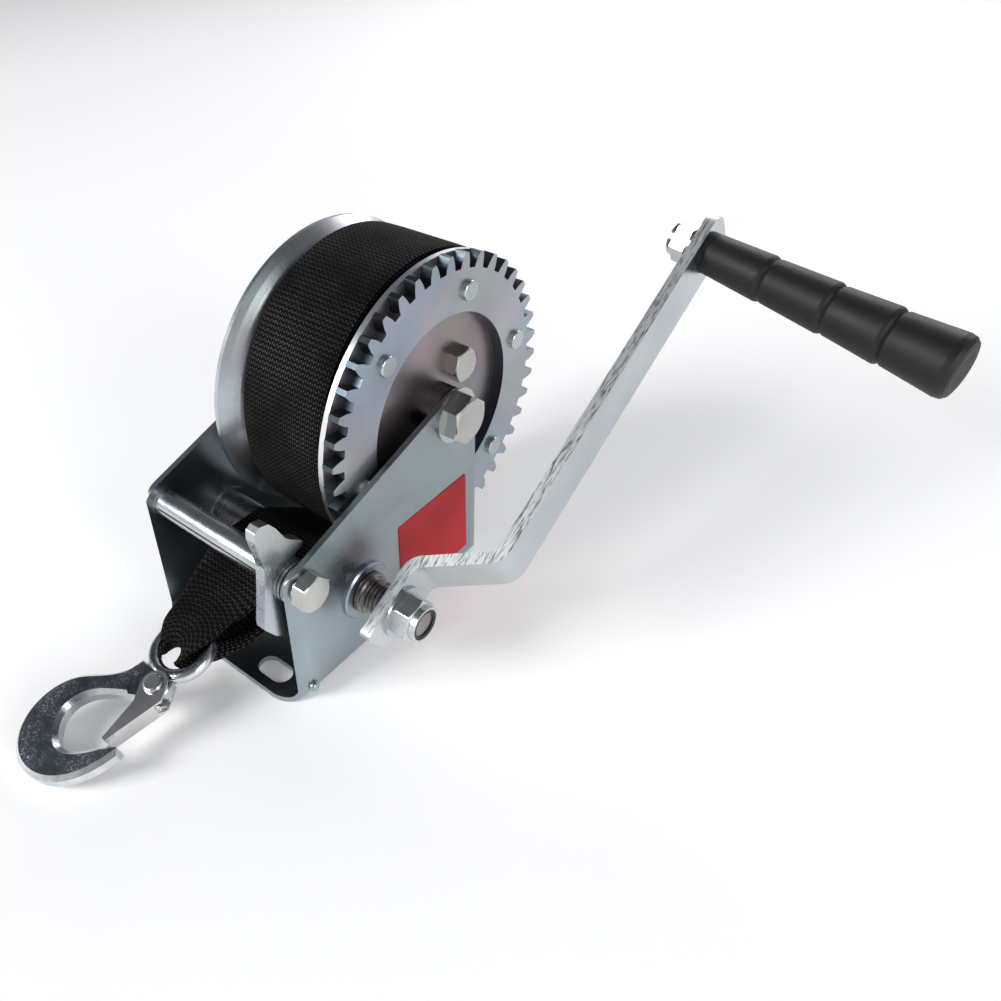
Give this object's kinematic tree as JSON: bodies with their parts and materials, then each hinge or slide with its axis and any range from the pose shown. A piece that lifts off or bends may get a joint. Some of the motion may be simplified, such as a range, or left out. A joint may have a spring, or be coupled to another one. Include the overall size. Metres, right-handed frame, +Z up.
{
  "type": "boat trailer winch",
  "caption": "Hand winch with a two-gear reduction, a pawl, a long crank with a turning grip, and a webbing strap on a flanged drum that ends in a latched snap hook.",
  "frame": {"origin": "centre of the underside of the base plate", "axes": "+X along the axles towards the crank, +Y away from the strap's exit, +Z up from the base"},
  "size_m": [0.2979, 0.3658, 0.1766],
  "materials": {
    "frame_steel": "bright zinc plate, satin",
    "label": "red sticker, satin",
    "bolt_steel": "zinc-plated hexagon heads",
    "washer_steel": "zinc plate",
    "nut_steel": "zinc plate",
    "sleeve_steel": "plain drawn tube",
    "hub_steel": "zinc-plated tube",
    "flange_steel": "stamped sheet, bright zinc plate",
    "gear_steel": "stamped teeth, zinc plate with a faint rainbow tint",
    "rivet_steel": "bright plated rivet heads",
    "webbing": "black woven polyester webbing",
    "shaft_steel": "turned steel, greased",
    "bush_steel": "turned, zinc plate",
    "spring_steel": "spring steel",
    "pawl_steel": "stamped plate, bright zinc",
    "spacer_steel": "rolled tube, bright zinc",
    "crank_steel": "flat bar with sheared edges, bright zinc",
    "nylon": "nylon locking ring",
    "grip_plastic": "black moulded plastic, fine grain",
    "cap_plastic": "black moulded plug",
    "hook_steel": "forged, bright zinc plate with a pitted skin",
    "latch_steel": "pressed sheet, bright"
  },
  "bodies": {
    "frame": {"frame": "frame_steel", "label": "label", "axle_bolt": "bolt_steel", "axle_washers": "washer_steel", "axle_nut": "nut_steel", "axle_sleeve": "sleeve_steel", "pinion_bush_right": "bush_steel", "pinion_bush_left": "bush_steel", "pawl_bolt": "bolt_steel", "pawl_spacer": "spacer_steel", "pawl_washers": "washer_steel", "pawl_spring_washer": "spring_steel", "strap_tail": "webbing", "strap_loop": "webbing"},
    "drum": {"drum_hub": "hub_steel", "drum_flange_left": "flange_steel", "drum_flange_right": "flange_steel", "drum_gear": "gear_steel", "gear_rivets": "rivet_steel", "strap_anchor_bolt": "bolt_steel", "strap_anchor_nut": "nut_steel", "strap_roll": "webbing"},
    "crank": {"pinion_shaft": "shaft_steel", "pinion_gear": "gear_steel", "shaft_circlip": "spring_steel", "crank_arm": "crank_steel", "crank_washer": "washer_steel", "crank_nut": "nut_steel", "crank_nut_insert": "nylon", "grip_bolt": "bolt_steel", "grip_wedge_outer": "grip_plastic", "grip_wedge_inner": "washer_steel", "grip_nut": "nut_steel"},
    "grip": {"grip": "grip_plastic", "grip_cap": "cap_plastic"},
    "pawl": {"pawl": "pawl_steel"},
    "hook": {"hook_body": "hook_steel", "latch_rivet": "rivet_steel", "latch_spring": "spring_steel"},
    "latch": {"hook_latch": "latch_steel"}
  },
  "joints": [
    {"name": "drum_spin", "type": "hinge", "parent": "frame", "child": "drum", "pos_m": [0, 0.047, 0.1], "axis": [1, 0, 0], "continuous": true},
    {"name": "pinion_spin", "type": "hinge", "parent": "frame", "child": "crank", "pos_m": [0, -0.0223, 0.03869], "axis": [1, 0, 0], "continuous": true},
    {"name": "grip_spin", "type": "hinge", "parent": "crank", "child": "grip", "pos_m": [0.1075, 0.17734, 0.15026], "axis": [0.9829, -0.1606, -0.0897], "continuous": true},
    {"name": "pawl_turn", "type": "hinge", "parent": "frame", "child": "pawl", "pos_m": [0, -0.0583, 0.068], "axis": [-1, 0, 0], "range_deg": [0, 60]},
    {"name": "hook_swing", "type": "hinge", "parent": "frame", "child": "hook", "pos_m": [-0.0004, -0.08027, 0.02877], "axis": [-1, 0, 0], "range_deg": [0, 60]},
    {"name": "latch_turn", "type": "hinge", "parent": "hook", "child": "latch", "pos_m": [0.0043, -0.11224, 0.0202], "axis": [0, 0.2588, -0.9659], "range_deg": [0, 30], "stiffness_Nm_per_rad": 0.15, "springref_deg": -5.73, "deforming": ["latch_spring"]}
  ],
  "couplings": [
    {"joint": "pinion_spin", "follows": "drum_spin", "ratio": -4.1}
  ]
}
